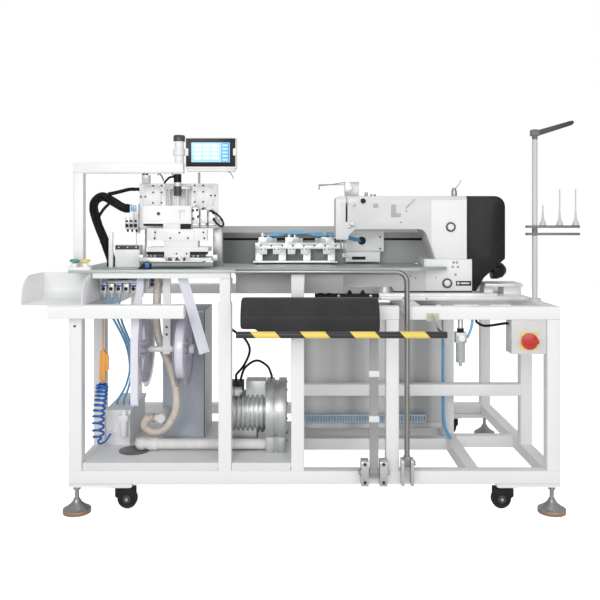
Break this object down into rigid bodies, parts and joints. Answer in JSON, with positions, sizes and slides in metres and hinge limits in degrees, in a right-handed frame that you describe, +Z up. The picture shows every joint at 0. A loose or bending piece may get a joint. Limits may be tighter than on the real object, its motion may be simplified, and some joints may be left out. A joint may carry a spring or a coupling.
{
  "type": "pocket setter machine",
  "caption": "Floor-standing automatic pocket setter: tube frame, steel table, folding head, transfer clamp, sewing head with thread stand, stacker, tape reels, blower and control cabinet.",
  "frame": {"origin": "on the floor, under the middle of the machine's bounding box", "axes": "+X to the operator's right along the machine, +Y to the back, +Z up"},
  "size_m": [2.181, 1.3393, 1.5181],
  "materials": {
    "frame_white": "satin white powder coat",
    "sheet_grey": "grey sheet metal",
    "table_steel": "brushed stainless plate",
    "foot_steel": "zinc-plated steel",
    "machined": "machined, satin",
    "white_plate": "white enamel",
    "dark_beam": "dark grey enamel",
    "head_grey": "light grey enamel on a casting",
    "black_shell": "gloss black",
    "black_matte": "matte black",
    "chrome_bits": "chrome",
    "stand_grey": "grey enamel",
    "switch_grey": "grey moulded box",
    "cabinet": "grey enamel",
    "blower": "cast, bead blasted",
    "pipe_white": "white plastic pipe",
    "air_white": "white enamel",
    "tape": "woven tape",
    "hoses": "black sleeve and hoses",
    "orange": "orange moulded grip",
    "stripes": "yellow and black stripes",
    "screen": "white case, black bezel and glass",
    "green": "green mushroom button",
    "yellow": "yellow mushroom button",
    "red": "red rotary knob",
    "pad": "dark padded cover",
    "reel": "translucent grey flanges",
    "wheel": "black wheel"
  },
  "bodies": {
    "base": {"frame_posts": "frame_white", "frame_long_rails": "frame_white", "frame_cross_rails": "frame_white", "levelling_feet": "foot_steel", "floor_shelf": "sheet_grey", "left_tray": "white_plate", "table_top": "table_steel", "apron_panels": "sheet_grey", "gantry": "frame_white", "control_boxes": "white_plate", "fold_columns": "machined", "fold_back_plate": "white_plate", "fold_actuators": "machined", "rear_axis_beam": "dark_beam", "sewing_bed": "head_grey", "sewing_arm": "head_grey", "motor_cover": "black_shell", "head_fittings": "chrome_bits", "bed_base": "black_matte", "thread_stand": "stand_grey", "switch_box": "switch_grey", "filter_regulator": "machined", "electrical_cabinet": "cabinet", "wire_duct": "air_white", "blower_housing": "blower", "blower_motor": "blower", "vacuum_pipe": "pipe_white", "air_box": "air_white", "air_cabinet": "air_white", "valve_manifold": "machined", "reel_hanger": "frame_white", "tapes": "tape", "flexible_lines": "hoses", "blow_gun": "orange", "arm_pivots": "machined", "striped_bar": "stripes"},
    "screen": {"screen": "screen"},
    "green_button": {"green_button": "green"},
    "yellow_button": {"yellow_button": "yellow"},
    "switch_knob": {"switch_knob": "red"},
    "fold_slide": {"fold_slide": "white_plate"},
    "fold_plate_left": {"fold_plate_left": "machined"},
    "fold_plate_right": {"fold_plate_right": "machined"},
    "transfer": {"transfer_carriage": "white_plate", "transfer_clamp": "machined"},
    "needle_bar": {"needle_bar": "chrome_bits"},
    "handwheel": {"handwheel": "black_shell"},
    "stacker": {"stacker_arm": "sheet_grey", "stacker_pad": "pad"},
    "wiper": {"wiper_arm": "machined"},
    "reel_left": {"reel_left": "reel"},
    "reel_right": {"reel_right": "reel"},
    "caster_front_left": {"caster_front_left": "foot_steel"},
    "wheel_front_left": {"wheel_front_left": "wheel"},
    "caster_front_right": {"caster_front_right": "foot_steel"},
    "wheel_front_right": {"wheel_front_right": "wheel"},
    "caster_rear_left": {"caster_rear_left": "foot_steel"},
    "wheel_rear_left": {"wheel_rear_left": "wheel"},
    "caster_rear_right": {"caster_rear_right": "foot_steel"},
    "wheel_rear_right": {"wheel_rear_right": "wheel"}
  },
  "joints": [
    {"name": "screen_swivel", "type": "hinge", "parent": "base", "child": "screen", "pos_m": [-0.5285, -0.33775, 1.39], "axis": [0, 0, 1], "range_deg": [-50, 30]},
    {"name": "green_push", "type": "slide", "parent": "base", "child": "green_button", "axis": [0, 0, -1], "range_m": [0, 0.004], "stiffness_N_per_m": 300},
    {"name": "yellow_push", "type": "slide", "parent": "base", "child": "yellow_button", "axis": [0, 0, -1], "range_m": [0, 0.004], "stiffness_N_per_m": 300},
    {"name": "switch_turn", "type": "hinge", "parent": "base", "child": "switch_knob", "pos_m": [0.8225, -0.45775, 0.658], "axis": [0, 1, 0], "range_deg": [0, 90]},
    {"name": "fold_lift", "type": "slide", "parent": "base", "child": "fold_slide", "axis": [0, 0, 1], "range_m": [0, 0.04]},
    {"name": "fold_left_in", "type": "slide", "parent": "fold_slide", "child": "fold_plate_left", "axis": [1, 0, 0], "range_m": [0, 0.015]},
    {"name": "fold_right_in", "type": "slide", "parent": "fold_slide", "child": "fold_plate_right", "axis": [-1, 0, 0], "range_m": [0, 0.015]},
    {"name": "transfer_run", "type": "slide", "parent": "base", "child": "transfer", "axis": [1, 0, 0], "range_m": [-0.3, 0.12]},
    {"name": "needle_stroke", "type": "slide", "parent": "base", "child": "needle_bar", "axis": [0, 0, 1], "range_m": [-0.03, 0]},
    {"name": "handwheel_turn", "type": "hinge", "parent": "base", "child": "handwheel", "pos_m": [0.7645, -0.04775, 0.903], "axis": [1, 0, 0], "continuous": true},
    {"name": "stacker_swing", "type": "hinge", "parent": "base", "child": "stacker", "pos_m": [0.2245, -0.48275, 0.17], "axis": [1, 0, 0], "range_deg": [0, 6]},
    {"name": "wiper_swing", "type": "hinge", "parent": "base", "child": "wiper", "pos_m": [0.3525, -0.48275, 0.204], "axis": [1, 0, 0], "range_deg": [0, 14]},
    {"name": "reel_left_turn", "type": "hinge", "parent": "base", "child": "reel_left", "pos_m": [-0.6825, -0.28775, 0.601], "axis": [1, 0, 0], "continuous": true},
    {"name": "reel_right_turn", "type": "hinge", "parent": "base", "child": "reel_right", "pos_m": [-0.5195, -0.28775, 0.601], "axis": [1, 0, 0], "continuous": true},
    {"name": "swivel_front_left", "type": "hinge", "parent": "base", "child": "caster_front_left", "pos_m": [-0.7355, -0.41275, 0.09], "axis": [0, 0, 1], "continuous": true},
    {"name": "roll_front_left", "type": "hinge", "parent": "caster_front_left", "child": "wheel_front_left", "pos_m": [-0.7155, -0.41275, 0.0475], "axis": [0, 1, 0], "continuous": true},
    {"name": "swivel_front_right", "type": "hinge", "parent": "base", "child": "caster_front_right", "pos_m": [0.7445, -0.41275, 0.09], "axis": [0, 0, 1], "continuous": true},
    {"name": "roll_front_right", "type": "hinge", "parent": "caster_front_right", "child": "wheel_front_right", "pos_m": [0.7245, -0.41275, 0.0475], "axis": [0, 1, 0], "continuous": true},
    {"name": "swivel_rear_left", "type": "hinge", "parent": "base", "child": "caster_rear_left", "pos_m": [-0.7355, 0.59725, 0.09], "axis": [0, 0, 1], "continuous": true},
    {"name": "roll_rear_left", "type": "hinge", "parent": "caster_rear_left", "child": "wheel_rear_left", "pos_m": [-0.7155, 0.59725, 0.0475], "axis": [0, 1, 0], "continuous": true},
    {"name": "swivel_rear_right", "type": "hinge", "parent": "base", "child": "caster_rear_right", "pos_m": [0.7445, 0.59725, 0.09], "axis": [0, 0, 1], "continuous": true},
    {"name": "roll_rear_right", "type": "hinge", "parent": "caster_rear_right", "child": "wheel_rear_right", "pos_m": [0.7245, 0.59725, 0.0475], "axis": [0, 1, 0], "continuous": true}
  ],
  "couplings": [
    {"joint": "fold_right_in", "follows": "fold_left_in", "ratio": 1}
  ]
}
